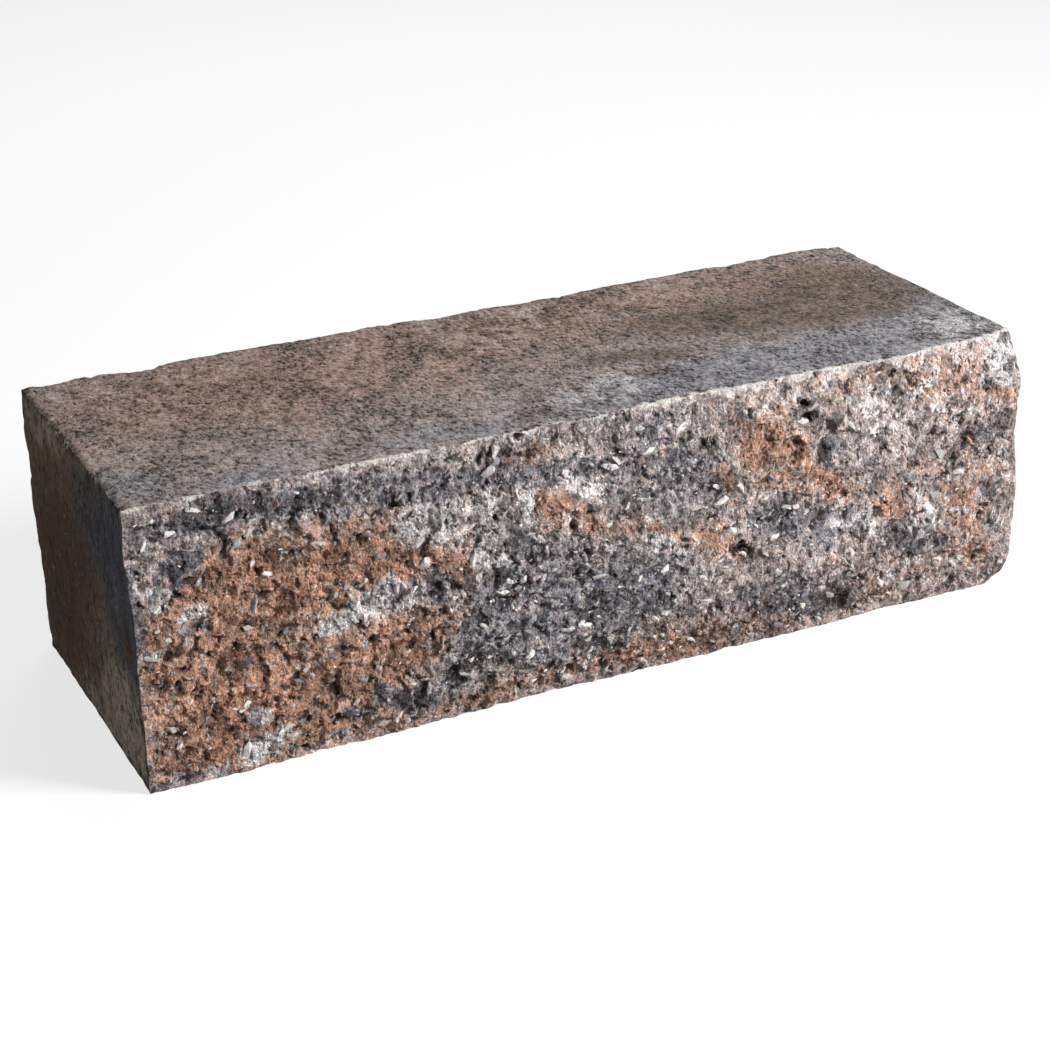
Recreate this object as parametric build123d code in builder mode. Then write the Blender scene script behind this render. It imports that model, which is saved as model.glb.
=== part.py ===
"""A split-faced wall block of concrete, for garden walls and terraces.

The block is pressed as one piece and then split down both long sides. Its top, bottom and ends are flat
moulded faces. Its front and back are broken faces: they meet the top and bottom in sharp, wavy arrises
and swell out between them.

Frame: +X along the block, -Y out of the front split face, +Z up. The origin is the middle of the bottom
face, halfway between the two lines along which the block was split. Millimetres.
"""

from math import cos, exp, hypot, pi, radians, sin, tanh
from typing import NamedTuple
import os

from build123d import *

# The block's nominal sizes
length = 400.0
height = 120.0
split_depth = 143.0  # from the front split line to the back one, along the arrises

# The mould rounds the long edges of the two ends a little
mould_radius = 1.2

# Stone left outside the split lines before the block is split, and how far each split overshoots it
waste = 20.0
overshoot = 12.0

# A split face is one smooth surface, fitted to a grid of points this far apart or a little less. The
# fit may miss a point by the tolerance, because a tighter one makes the surface ring near its edges.
grid_pitch = 6.0
fit_tolerance = 0.5


class Swelling(NamedTuple):
    """A rounded high place on a split face, or a hollow where proud is negative."""

    x: float
    z: float
    half_x: float
    half_z: float
    proud: float
    lean: float = 0.0  # degrees that its long axis is turned up from +X

    def height_at(self, x, z):
        along = (x - self.x) * cos(radians(self.lean)) + (z - self.z) * sin(radians(self.lean))
        across = (z - self.z) * cos(radians(self.lean)) - (x - self.x) * sin(radians(self.lean))
        return self.proud * exp(-((along / self.half_x) ** 2) - (across / self.half_z) ** 2)


class Ledge(NamedTuple):
    """A step where the crack jumped a layer: below the line from start to end, stone stands proud."""

    start: tuple
    end: tuple
    step: float
    width: float  # over which the step rises
    reach: float  # below the line, after which the face has come back in

    def height_at(self, x, z):
        run_x, run_z = self.end[0] - self.start[0], self.end[1] - self.start[1]
        run = hypot(run_x, run_z)
        along = ((x - self.start[0]) * run_x + (z - self.start[1]) * run_z) / run
        below = ((x - self.start[0]) * run_z - (z - self.start[1]) * run_x) / run
        rise = 0.5 + 0.5 * tanh(below / self.width)
        fade = exp(-((max(below, 0.0) / self.reach) ** 2))
        # the step dies away over its own width past each end of the line
        window = 0.5 * (tanh(along / (2 * self.width)) - tanh((along - run) / (2 * self.width)))
        return self.step * rise * fade * window


# Lumps run all over a split face, in two sizes, each lying along its own direction
lump_sizes = (52.0, 36.0)
lump_directions = (12, 51)  # degrees


class SplitFace(NamedTuple):
    """One split side: its general swell and the marks that the crack left."""

    belly_left: float  # how far the face swells at the left end
    belly_right: float
    lumps: float  # height of the largest lumps that run all over it
    phase: float  # sets where the lumps fall
    marks: list

    def height_at(self, x, z):
        share_right = 0.5 + x / length
        from_middle = abs(2 * z / height - 1)
        belly = self.belly_left + (self.belly_right - self.belly_left) * share_right
        swell = belly * (1 - from_middle**4)
        return swell + self.lumps_at(x, z) + sum(mark.height_at(x, z) for mark in self.marks)

    def lumps_at(self, x, z):
        """Lumps and hollows where two sets of waves cross, one of them wandering from side to side."""
        total = 0.0
        for size, direction in zip(lump_sizes, lump_directions):
            along = x * cos(radians(direction)) + z * sin(radians(direction))
            across = z * cos(radians(direction)) - x * sin(radians(direction))
            along += 0.2 * size * sin(2 * pi * across / (2.3 * size) + self.phase)
            crossing = sin(2 * pi * along / size + 2 * self.phase) * sin(1.7 * pi * across / size + self.phase)
            total += self.lumps * size / lump_sizes[0] * crossing
        return total


# The front face, seen from the front: +X is to the right
front_face = SplitFace(
    belly_left=0.8,
    belly_right=5.8,
    lumps=0.35,
    phase=0.4,
    marks=[
        # the boss in the middle, under two ledges that meet in a peak
        Ledge(start=(-134, 50), end=(-30, 95), step=3.6, width=3.2, reach=42),
        Ledge(start=(-30, 95), end=(66, 49), step=2.8, width=3.2, reach=36),
        Swelling(x=-25, z=48, half_x=62, half_z=30, proud=1.6),
        # the hollow that runs under the top arris at the left, and the shelf below it
        Swelling(x=-120, z=104, half_x=72, half_z=9, proud=-1.9, lean=2),
        Swelling(x=-200, z=97, half_x=22, half_z=11, proud=-2.8),
        Ledge(start=(-216, 82), end=(-172, 78), step=2.6, width=3.0, reach=22),
        Swelling(x=-150, z=62, half_x=34, half_z=20, proud=-1.4, lean=20),
        Swelling(x=-164, z=26, half_x=34, half_z=16, proud=2.0),
        Swelling(x=-96, z=24, half_x=26, half_z=14, proud=-1.8, lean=15),
        # lumps and hollows where the stone tore unevenly, at the left
        Swelling(x=-139, z=91, half_x=9, half_z=8, proud=-1.5),
        Swelling(x=-166, z=68, half_x=10, half_z=15, proud=1.3, lean=-20),
        Swelling(x=-174, z=30, half_x=9, half_z=10, proud=-1.5),
        Swelling(x=-128, z=42, half_x=11, half_z=9, proud=1.4),
        Swelling(x=-101, z=38, half_x=10, half_z=8, proud=-1.4),
        Swelling(x=-74, z=102, half_x=11, half_z=9, proud=1.3),
        Swelling(x=-46, z=111, half_x=9, half_z=8, proud=-1.5),
        Swelling(x=-54, z=51, half_x=20, half_z=8, proud=-1.3, lean=40),
        Swelling(x=-35, z=19, half_x=13, half_z=8, proud=1.3),
        Swelling(x=-10, z=19, half_x=10, half_z=9, proud=-1.4),
        # the blue scallops to the right of the middle
        Swelling(x=28, z=88, half_x=36, half_z=17, proud=-2.2, lean=-18),
        Swelling(x=84, z=92, half_x=24, half_z=15, proud=1.7, lean=35),
        Swelling(x=112, z=52, half_x=38, half_z=14, proud=-2.4, lean=8),
        Swelling(x=64, z=45, half_x=9, half_z=7, proud=-2.6),
        Swelling(x=96, z=22, half_x=46, half_z=14, proud=1.5, lean=6),
        # and at the right
        Swelling(x=11, z=76, half_x=9, half_z=11, proud=-1.3),
        Swelling(x=50, z=82, half_x=16, half_z=8, proud=1.3, lean=-56),
        Swelling(x=102, z=84, half_x=11, half_z=8, proud=-1.8, lean=-60),
        Swelling(x=136, z=53, half_x=10, half_z=10, proud=1.5),
        Swelling(x=148, z=34, half_x=11, half_z=9, proud=-1.5),
        Swelling(x=139, z=103, half_x=9, half_z=9, proud=-1.2),
        Swelling(x=22, z=28, half_x=12, half_z=9, proud=1.2),
        Swelling(x=72, z=19, half_x=10, half_z=9, proud=-1.4),
        Swelling(x=196, z=73, half_x=14, half_z=8, proud=-1.6),
        # the right end: a facet slopes out from the arris, and the face stands well proud below it
        Swelling(x=206, z=121, half_x=13, half_z=14, proud=-7.0),
        Swelling(x=194, z=98, half_x=34, half_z=11, proud=2.0),
        Swelling(x=168, z=63, half_x=12, half_z=11, proud=-2.4),
        Swelling(x=198, z=46, half_x=30, half_z=18, proud=1.8),
        Swelling(x=200, z=18, half_x=28, half_z=12, proud=1.8),
        # the arrises wander in and out
        Swelling(x=-150, z=121, half_x=13, half_z=8, proud=-1.4),
        Swelling(x=-130, z=121, half_x=9, half_z=9, proud=1.8),
        Swelling(x=-66, z=121, half_x=14, half_z=9, proud=1.0),
        Swelling(x=-40, z=121, half_x=8, half_z=8, proud=2.0),
        Swelling(x=-5, z=121, half_x=8, half_z=8, proud=2.9),
        Swelling(x=44, z=121, half_x=20, half_z=9, proud=-1.0),
        Swelling(x=136, z=121, half_x=13, half_z=8, proud=3.6),
        Swelling(x=-162, z=-1, half_x=14, half_z=9, proud=1.2),
        Swelling(x=-28, z=-1, half_x=44, half_z=12, proud=-1.8),
        Swelling(x=142, z=-1, half_x=10, half_z=8, proud=-1.6),
        # the lower right corner is knocked off
        Swelling(x=204, z=-3, half_x=7.5, half_z=8, proud=-8.0),
    ],
)

# The back face, seen from the back: its +X is towards the block's -X end
back_face = SplitFace(
    belly_left=2.4,
    belly_right=3.0,
    lumps=0.35,
    phase=2.2,
    marks=[
        Ledge(start=(-120, 34), end=(-12, 74), step=3.0, width=3.4, reach=34),
        Ledge(start=(40, 88), end=(150, 58), step=3.2, width=3.4, reach=40),
        Swelling(x=-70, z=84, half_x=58, half_z=22, proud=-1.8, lean=14),
        Swelling(x=24, z=40, half_x=44, half_z=24, proud=1.8, lean=-10),
        Swelling(x=104, z=92, half_x=40, half_z=14, proud=-1.6, lean=-12),
        Swelling(x=-158, z=60, half_x=34, half_z=28, proud=1.6),
        Swelling(x=120, z=24, half_x=40, half_z=16, proud=-1.4, lean=8),
        # lumps and hollows where the stone tore unevenly
        Swelling(x=-178, z=84, half_x=12, half_z=10, proud=-1.5),
        Swelling(x=-132, z=26, half_x=14, half_z=9, proud=1.3, lean=30),
        Swelling(x=-98, z=58, half_x=10, half_z=10, proud=-1.5),
        Swelling(x=-60, z=24, half_x=11, half_z=9, proud=-1.4),
        Swelling(x=-28, z=96, half_x=12, half_z=8, proud=1.3),
        Swelling(x=2, z=66, half_x=14, half_z=8, proud=-1.4, lean=-40),
        Swelling(x=36, z=20, half_x=10, half_z=9, proud=1.3),
        Swelling(x=66, z=62, half_x=12, half_z=10, proud=-1.5),
        Swelling(x=98, z=44, half_x=16, half_z=8, proud=1.4, lean=50),
        Swelling(x=156, z=88, half_x=11, half_z=9, proud=-1.3),
        Swelling(x=196, z=101, half_x=18, half_z=10, proud=2.6),
        Swelling(x=196, z=90, half_x=16, half_z=7, proud=-2.2),
        Swelling(x=196, z=64, half_x=22, half_z=10, proud=1.4),
        Swelling(x=196, z=32, half_x=22, half_z=14, proud=-2.6),
        Swelling(x=168, z=121, half_x=12, half_z=9, proud=2.0),
        Swelling(x=150, z=121, half_x=12, half_z=8, proud=-2.6),
        Swelling(x=112, z=121, half_x=17, half_z=9, proud=1.4),
        Swelling(x=40, z=121, half_x=15, half_z=9, proud=1.0),
        Swelling(x=9, z=121, half_x=9, half_z=8, proud=-2.0),
        Swelling(x=-44, z=121, half_x=48, half_z=11, proud=-2.6),
        Swelling(x=-72, z=121, half_x=7, half_z=7, proud=1.4),
        Swelling(x=-140, z=121, half_x=12, half_z=8, proud=-1.6),
        Swelling(x=60, z=-1, half_x=36, half_z=12, proud=-1.4),
        Swelling(x=-100, z=-1, half_x=30, half_z=12, proud=1.2),
        # the top corner is chipped
        Swelling(x=-204, z=123, half_x=8, half_z=9, proud=-6.0),
    ],
)


def evenly(low, high):
    """Numbers from low to high, no further apart than the grid's pitch."""
    steps = round((high - low) / grid_pitch + 0.5)
    return [low + (high - low) * step / steps for step in range(steps + 1)]


def crack_surface(split_face, side):
    """The surface that the block breaks along. side is -1 at the front and +1 at the back."""
    rows = []
    for z in evenly(-overshoot, height + overshoot):
        row = []
        for x in evenly(-length / 2 - overshoot, length / 2 + overshoot):
            proud = split_face.height_at(-side * x, z)
            row.append((x, side * (split_depth / 2 + proud), z))
        rows.append(row)
    return Face.make_surface_from_array_of_points(rows, tol=fit_tolerance, min_deg=3, max_deg=3)


# The pressed block, longer from front to back than it ends up, with its mould edges rounded
with BuildPart() as wall_block:
    with BuildSketch(Plane.XY):
        Rectangle(length, split_depth + 2 * waste)
    extrude(amount=height)
    fillet(wall_block.edges().filter_by(Axis.Y), radius=mould_radius)

    # Both crack surfaces face +Y, so the block is what lies above the front one and below the back one
    split(bisect_by=crack_surface(front_face, side=-1), keep=Keep.TOP)
    split(bisect_by=crack_surface(back_face, side=1), keep=Keep.BOTTOM)

wall_block.part.label = "wall_block"

os.makedirs("parts", exist_ok=True)
export_step(wall_block.part, "parts/wall_block.step")
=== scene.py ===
"""Finishes a split-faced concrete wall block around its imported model, and sets it on a plain pale stage.

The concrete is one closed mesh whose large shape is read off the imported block. The broken grain, the
gravel in it and its pigments are added here. Lengths in the patch lists and the mesh code are
millimetres; everything handed to Blender is in metres.
"""

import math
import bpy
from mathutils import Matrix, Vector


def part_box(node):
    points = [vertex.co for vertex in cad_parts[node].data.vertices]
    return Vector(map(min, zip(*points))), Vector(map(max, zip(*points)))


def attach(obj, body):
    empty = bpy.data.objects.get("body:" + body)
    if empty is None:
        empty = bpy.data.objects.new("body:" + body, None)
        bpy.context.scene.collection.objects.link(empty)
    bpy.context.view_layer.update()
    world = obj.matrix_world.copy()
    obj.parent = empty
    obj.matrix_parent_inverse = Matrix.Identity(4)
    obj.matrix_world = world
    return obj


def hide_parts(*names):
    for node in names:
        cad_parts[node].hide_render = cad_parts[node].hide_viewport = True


bl_info = {
    "name": "Split-faced wall block",
    "version": (1, 0, 0),
    "blender": (4, 5, 0),
    "location": "View3D > Sidebar > Wall block",
    "description": "Concrete, gravel and stage for a split-faced wall block",
    "category": "Add Mesh",
}

from functools import partial
from typing import NamedTuple

import bpy
import numpy as np
from bpy.props import FloatProperty, FloatVectorProperty, IntProperty, PointerProperty
from mathutils import Matrix, Vector
from mathutils.bvhtree import BVHTree
from mathutils.geometry import delaunay_2d_cdt

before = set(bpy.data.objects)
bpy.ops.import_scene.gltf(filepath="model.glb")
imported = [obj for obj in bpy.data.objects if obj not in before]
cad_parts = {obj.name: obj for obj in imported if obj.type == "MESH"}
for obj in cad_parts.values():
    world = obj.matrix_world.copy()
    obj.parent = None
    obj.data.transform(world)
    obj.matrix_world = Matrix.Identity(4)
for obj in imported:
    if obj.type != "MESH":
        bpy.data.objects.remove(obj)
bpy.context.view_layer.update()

MM = 0.001
NODE = "wall_block"
BODY = "root"

low, high = (np.array(corner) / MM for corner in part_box(NODE))
HALF_LENGTH = (high[0] - low[0]) / 2
HEIGHT = high[2]

FRONT, BACK, TOP, BOTTOM, LEFT, RIGHT = range(6)


def linear(hex_colour):
    """A colour written as sRGB hex, as the linear colour that Blender works in."""
    channels = [int(hex_colour[i : i + 2], 16) / 255 for i in (0, 2, 4)]
    return tuple(c / 12.92 if c <= 0.04045 else ((c + 0.055) / 1.055) ** 2.4 for c in channels)


# Pigments and painted shade


class Patch(NamedTuple):
    """An oval of one pigment on a face. At half_u and half_v from its middle the share is down to half."""

    u: float
    v: float
    half_u: float
    half_v: float
    lean: float = 0.0  # degrees that the long axis is turned up from +u
    share: float = 1.0


def patches(*rows):
    """Patches from rows of their numbers, in the order that Patch gives."""
    return [Patch(*row) for row in rows]


# The front, in x and z. Iron oxide orange lies in a broad field at the left and in streaks further right
FRONT_WARM = patches(
    (-142, 79, 46, 21, 6), (-167, 42, 32, 32), (-120, 34, 28, 22, 0, 0.85), (-165, 12, 38, 12, 0, 0.8),
    (-118, 12, 22, 8, 0, 0.62), (-191, 60, 12, 28, 0, 0.66), (-94, 78, 24, 14, 0, 0.72),
    (-74, 73, 16, 7, 10, 0.68), (-88, 42, 24, 13, 20, 0.85), (-58, 7, 56, 5, 0, 0.62),
    (-31, 18, 12, 4, 5, 0.72), (-29, 90, 10, 8, -40, 0.84), (-12, 77, 15, 5.5, -35, 0.8),
    (-34, 110, 14, 5, 0, 0.55), (20, 100, 12, 3, 5, 0.6), (51, 82, 14, 4.5, -60, 0.8),
    (78, 90, 24, 11, -38, 0.9), (104, 72, 12, 5, -50, 0.8), (17, 67, 18, 5, -25, 0.78),
    (48, 55, 15, 5, -32, 0.82), (20, 10, 34, 6, 0, 0.55), (135, 52, 10, 8, 0, 0.65),
    (140, 110, 34, 9, 0, 0.6), (174, 104, 20, 8, 0, 0.56), (140, 60, 110, 80, 0, 0.3),
    (40, 14, 90, 16, 0, 0.42), (172, 50, 12, 9, 20, 0.5), (174, 36, 10, 4, -20, 0.6),
    (180, 20, 8, 8, 0, 0.7), (190, 95, 7, 5, 0, 0.6),
)

# Black oxide makes the blue-grey bands and the dark field in the middle. A few small patches are painted
# shade: the one right of the pale ledge, two at holes right of the middle and the thin lines along the foot
# at the left
FRONT_BLUE = patches(
    (-150, 110, 50, 6, 1), (-105, 106, 26, 7, -4, 0.9), (-60, 104, 34, 5, -3, 0.75),
    (-16, 99, 22, 5, -5, 0.9), (-182, 93, 11, 8, 0, 0.85), (-199, 76, 5, 24, 0, 0.8),
    (-180, 66, 6, 4, 0, 0.7), (-80, 64, 10, 5, 10), (-46, 77, 8, 8, 20, 0.9), (-48, 47, 24, 18, 35),
    (-20, 40, 30, 26, 0, 0.9), (12, 42, 26, 16, -10, 0.75), (-100, 22, 10, 4, -40),
    (-88, 15, 10, 5, -10), (-66, 24, 12, 6, 25, 0.85), (-115, 16, 8, 3, -10, 0.9),
    (-128, 7, 13, 1.8, 6, 0.9), (-184, 2, 18, 2), (30, 88, 28, 17, -10, 0.6), (78, 62, 14, 7, -5, 0.9),
    (102, 50, 22, 8, -5, 0.9), (146, 35, 14, 8, -10, 0.85), (84, 22, 40, 12, 0, 0.65),
    (104, 84, 6, 9, 20, 0.9), (92, 105, 3, 7, 0, 0.9), (160, 98, 22, 6, 0, 0.45),
    (176, 76, 16, 7, 0, 0.5), (24, 112, 16, 6, 0, 0.6), (105, 10, 16, 5, 0, 0.5),
)

# Lime and crushed fines show pale, most of all along the ledges
FRONT_PALE = patches(
    (-118, 56, 12, 3.5, 12, 0.9), (-100, 60, 14, 6, 12), (-80, 91, 15, 8, 0, 0.8),
    (-55, 75, 7, 10, -20, 0.85), (-52, 92, 8, 5, 0, 0.6), (-38, 92, 3, 8, 0, 0.9),
    (-158, 10, 8, 6, 0, 0.85), (-145, 12, 7, 5, 0, 0.7), (-153, 24, 5, 5, 0, 0.6),
    (-190, 82, 6, 5, 0, 0.6), (-178, 72, 6, 3, 0, 0.8), (-192, 60, 4, 3, 0, 0.7),
    (-12, 92, 16, 5, -25, 0.7), (20, 62, 10, 4, -20, 0.8), (114, 52, 12, 8, -10, 0.45),
    (157, 40, 4, 6, 0, 0.7), (126, 42, 4, 4, 0, 0.8), (148, 52, 7, 4, 0, 0.6),
    (130, 90, 26, 20, 0, 0.36), (150, 110, 50, 12, 0, 0.34), (194, 108, 9, 9, 0, 0.75),
)

# Painted shade: some places are taken darker than the rest of their own pigment, in the holes, under the top
# arris, along the foot and over the lower middle and right
FRONT_SHADE = patches(
    (-150, 110, 44, 5, 1, 0.6), (-139, 91, 7, 5, 0, 0.8), (-117, 85, 4, 6, 0, 0.8),
    (-159, 49, 5, 9, -15, 0.8), (-173, 28, 5, 9, -10, 0.8), (-122, 68, 6, 3, 0, 0.7),
    (-149, 76, 3, 8, 0, 0.7), (-99, 37, 7, 3, 20, 0.7), (-80, 64, 9, 4, 10), (-46, 78, 6, 7, 20, 0.8),
    (-52, 48, 16, 4, 42, 0.8), (-99, 22, 9, 3, -40), (-88, 15, 9, 4, -10, 0.9), (-63, 24, 8, 5, 0, 0.8),
    (-116, 16, 7, 2, -10, 0.8), (-182, 92, 6, 6, 0, 0.8), (-45, 112, 6, 6, 0, 0.8),
    (-10, 18, 7, 6, -30, 0.7), (10, 76, 4, 9, 0, 0.8), (104, 82, 4, 9, 25), (92, 104, 3, 6, 0, 0.9),
    (80, 62, 8, 5, 0, 0.7), (63, 46, 5, 6, 0, 0.9), (146, 35, 9, 6, 0, 0.8), (168, 65, 5, 5, 0, 0.9),
    (70, 19, 8, 5, 0, 0.7), (106, 11, 12, 5, 0, 0.7), (22, 22, 9, 6, 0, 0.6), (138, 103, 4, 6, 0, 0.7),
    (175, 77, 7, 4, 30, 0.7), (80, 18, 56, 16, 0, 0.5), (150, 24, 40, 16, 0, 0.38),
    (0, 7, 70, 6, 0, 0.42), (0, 112, 50, 6, 0, 0.4), (10, 40, 40, 22, 0, 0.22),
)

# The top, in x and y. Cement paste is browner at the back, blue-grey along the front
TOP_WARM = patches(
    (-120, 30, 90, 50), (10, 45, 90, 40, 0, 0.95), (120, 50, 80, 30, -8, 0.7),
)
TOP_BLUE = patches(
    (104, -54, 112, 24, 3), (-188, -52, 16, 14, 0, 0.75), (-150, -64, 18, 8, 0, 0.65),
    (-60, -62, 50, 10, 0, 0.5), (190, -40, 24, 34, 0, 0.9),
)
# The pale patch at the right front corner, at (186, -48), is painted sheen where the key light glances over
# the top; the others are lime bloom
TOP_PALE = patches(
    (16, -36, 11, 4, 25), (6, -50, 30, 15, 30, 0.5), (186, -48, 24, 22, 20, 0.7),
    (20, 36, 34, 40, 70, 0.24), (66, 32, 8, 5, 0, 0.5), (-180, 50, 30, 20, 0, 0.2),
)
TOP_DAMP = patches(
    (110, 2, 56, 20, -14), (165, 12, 40, 34, 0, 0.9), (40, -18, 30, 8, -12, 0.7),
)

# The ends, in y and z. The mould drew nearly black paste over the front, brown paste over the back. All the
# ends' paste is darker than the top's skin, partly as its own colour and partly as painted shade, for the
# shade that the left end stands in
END_WARM = patches(
    (34, 56, 48, 70),
)
END_BLUE = patches(
    (-58, 84, 22, 38), (-24, 96, 30, 20, 0, 0.8),
)
END_PALE = patches(
    (-46, 22, 34, 20, -16, 0.95), (-4, 6, 40, 8, 0, 0.9), (48, 112, 28, 9, 0, 0.6),
)
END_DAMP = patches(
    (46, 40, 38, 38, 0, 0.95), (10, 70, 36, 18, 0, 0.8), (-62, 62, 6, 8, 0, 0.9),
)

NO_PATCHES = []


def turned(ovals):
    """The same patches after the face is turned upside down, for the back, which is hidden."""
    return [p._replace(u=-p.u, v=HEIGHT - p.v) for p in ovals]


def fainter(ovals):
    """The same patches at a little over half their share, for the end that is hidden."""
    return [p._replace(share=0.6 * p.share) for p in ovals]


# Each face's pigments, and the split faces' painted shade, in the order of the attributes that the materials
# read
PIGMENTS_AND_SHADE = ("warm", "blue", "pale", "damp_and_shade")
FACE_PATCHES = {
    FRONT: (FRONT_WARM, FRONT_BLUE, FRONT_PALE, FRONT_SHADE),
    BACK: tuple(map(turned, (FRONT_WARM, FRONT_BLUE, FRONT_PALE, FRONT_SHADE))),
    TOP: (TOP_WARM, TOP_BLUE, TOP_PALE, TOP_DAMP),
    BOTTOM: (TOP_WARM, TOP_BLUE, NO_PATCHES, NO_PATCHES),
    LEFT: (END_WARM, END_BLUE, END_PALE, END_DAMP),
    RIGHT: (END_WARM, fainter(END_BLUE), fainter(END_PALE), fainter(END_DAMP)),
}


# Random fields, over millimetres

LATTICE = 512


def smoothstep(low_edge, high_edge, value):
    t = np.clip((value - low_edge) / (high_edge - low_edge), 0, 1)
    return t * t * (3 - 2 * t)


def noise(u, v, cell, seed):
    """A smooth random field between -1 and 1, with bumps about one cell across."""
    table = np.random.default_rng(seed).uniform(-1, 1, (LATTICE, LATTICE))
    su, sv = u / cell, v / cell
    iu, iv = np.floor(su).astype(int), np.floor(sv).astype(int)
    fu, fv = smoothstep(0, 1, su - iu), smoothstep(0, 1, sv - iv)

    def corner(du, dv):
        return table[(iu + du) % LATTICE, (iv + dv) % LATTICE]

    low_row = corner(0, 0) * (1 - fu) + corner(1, 0) * fu
    high_row = corner(0, 1) * (1 - fu) + corner(1, 1) * fu
    return low_row * (1 - fv) + high_row * fv


def rough_noise(u, v, cell, seed, octaves=4, gain=0.5):
    """Noise with finer and weaker noise laid over it, each layer at about half the size of the last."""
    total = sum(
        gain**k * noise(u + 17.3 * k, v - 9.1 * k, cell / 1.93**k, seed + k) for k in range(octaves)
    )
    return total / sum(gain**k for k in range(octaves))


class Shards(NamedTuple):
    """For each point, the broken grain that it lies on."""

    du: np.ndarray  # from the grain's middle, in cells
    dv: np.ndarray
    rim: np.ndarray  # 0 at the grain's edge, rising inwards, in cells
    chance: np.ndarray  # four random numbers of the grain, between 0 and 1


def shards(u, v, cell, seed):
    """Cuts the plane into irregular grains about one cell across."""
    table = np.random.default_rng(seed).uniform(0, 1, (LATTICE, LATTICE, 6))
    su, sv = u / cell, v / cell
    iu, iv = np.floor(su).astype(int), np.floor(sv).astype(int)
    nearest = np.full(su.shape, np.inf)
    second = np.full(su.shape, np.inf)
    du, dv = np.zeros(su.shape), np.zeros(su.shape)
    chance = np.zeros(su.shape + (4,))
    for step_u in (-1, 0, 1):
        for step_v in (-1, 0, 1):
            drawn = table[(iu + step_u) % LATTICE, (iv + step_v) % LATTICE]
            off_u = su - (iu + step_u + drawn[..., 0])
            off_v = sv - (iv + step_v + drawn[..., 1])
            distance = np.hypot(off_u, off_v)
            closer = distance < nearest
            second = np.where(closer, nearest, np.minimum(second, distance))
            nearest = np.where(closer, distance, nearest)
            du, dv = np.where(closer, off_u, du), np.where(closer, off_v, dv)
            chance = np.where(closer[..., None], drawn[..., 2:], chance)
    return Shards(du, dv, second - nearest, chance)


def share_of(ovals, u, v):
    """How much of one pigment lies at each point: 0 to 1, with the patches' edges at a half."""
    rest = np.ones(u.shape)
    for p in ovals:
        c, s = math.cos(math.radians(p.lean)), math.sin(math.radians(p.lean))
        along = ((u - p.u) * c + (v - p.v) * s) / p.half_u
        across = ((v - p.v) * c - (u - p.u) * s) / p.half_v
        rest = rest * (1 - p.share / (1 + (along**2 + across**2) ** 2))
    return 1 - rest


# The broken surface


class Facets(NamedTuple):
    """One size of broken grain on a split face, in millimetres."""

    cell: float
    tilt: float  # slope of a grain's flat, at most
    step: float  # how far a grain stands in or out, at most
    groove: float  # depth of the groove round it


FACETS = (
    Facets(cell=15.0, tilt=0.14, step=0.40, groove=0.0),
    Facets(cell=7.5, tilt=0.42, step=0.50, groove=0.08),
    Facets(cell=3.9, tilt=0.42, step=0.30, groove=0.12),
    Facets(cell=2.2, tilt=0.34, step=0.20, groove=0.08),
)

# The crack tore the crumbs out steeply, up and to the right: their lean and how long they are for their width
TEAR_LEAN = math.radians(72)
TEAR_LENGTH = 2.0


def broken_relief(x, z, seed):
    """How far the broken grain stands out of the block's large shape, in millimetres."""
    wx = x + 2.5 * rough_noise(x, z, 9, seed + 90)
    wz = z + 2.5 * rough_noise(x, z, 9, seed + 95)
    along = (wx * math.cos(TEAR_LEAN) + wz * math.sin(TEAR_LEAN)) / TEAR_LENGTH
    across = wz * math.cos(TEAR_LEAN) - wx * math.sin(TEAR_LEAN)
    relief = 0.9 * rough_noise(along, across, 4.4, seed + 70, octaves=4, gain=0.6)
    for k, facet in enumerate(FACETS):
        grain = shards(wx, wz, facet.cell, seed + 7 * k)
        lean_u, lean_v, level, calm = (grain.chance[..., n] * 2 - 1 for n in range(4))
        flat = facet.tilt * facet.cell * (lean_u * grain.du + lean_v * grain.dv)
        rim = 1 - smoothstep(0, 0.25, grain.rim)
        relief += (flat + facet.step * level) * (0.6 + 0.4 * calm) - facet.groove * rim
    # holes where gravel came away with the other half
    hole = shards(wx, z, 12.0, seed + 60)
    size = 0.07 + 0.10 * hole.chance[..., 1]
    ragged = np.hypot(hole.du, hole.dv) * (1 + 0.8 * noise(x, z, 2.2, seed + 66))
    relief -= np.where(hole.chance[..., 0] < 0.15, 2.0 * (1 - smoothstep(0.4 * size, size, ragged)), 0)
    # the end that the crack left calmer
    return relief * (0.72 + 0.28 * smoothstep(80, -60, x))


# Holes that stand out in the front face: x, z, radius and depth
FRONT_HOLES = (
    (62, 48, 3.8, 5.0), (66, 45, 2.8, 3.0), (-40, 118, 3.0, 2.4), (8, 118, 3.4, 2.6),
    (92, 107, 2.8, 4.5), (93, 102, 2.2, 3.5), (71, 102, 1.6, 2.0), (102, 85, 3.0, 2.6),
    (88, 91, 2.0, 2.0), (-44, 112, 2.6, 2.6), (164, 61, 2.6, 2.6), (168, 68, 2.2, 2.2),
    (137, 105, 2.0, 2.0), (-149, 84, 2.4, 2.4), (-79, 63, 4.0, 2.2), (-161, 54, 2.6, 2.2),
)


def front_marks(x, z):
    """Depth of the front face's own holes."""
    depth = np.zeros(x.shape)
    wobble = 1 + 0.8 * noise(x, z, 3.4, 411) + 0.3 * noise(x, z, 1.6, 412)
    for hole_x, hole_z, radius, hole_depth in FRONT_HOLES:
        r = np.hypot(x - hole_x, z - hole_z) / (radius * wobble)
        depth += hole_depth * (1 - smoothstep(0.35, 1.0, r))
    return depth


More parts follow.
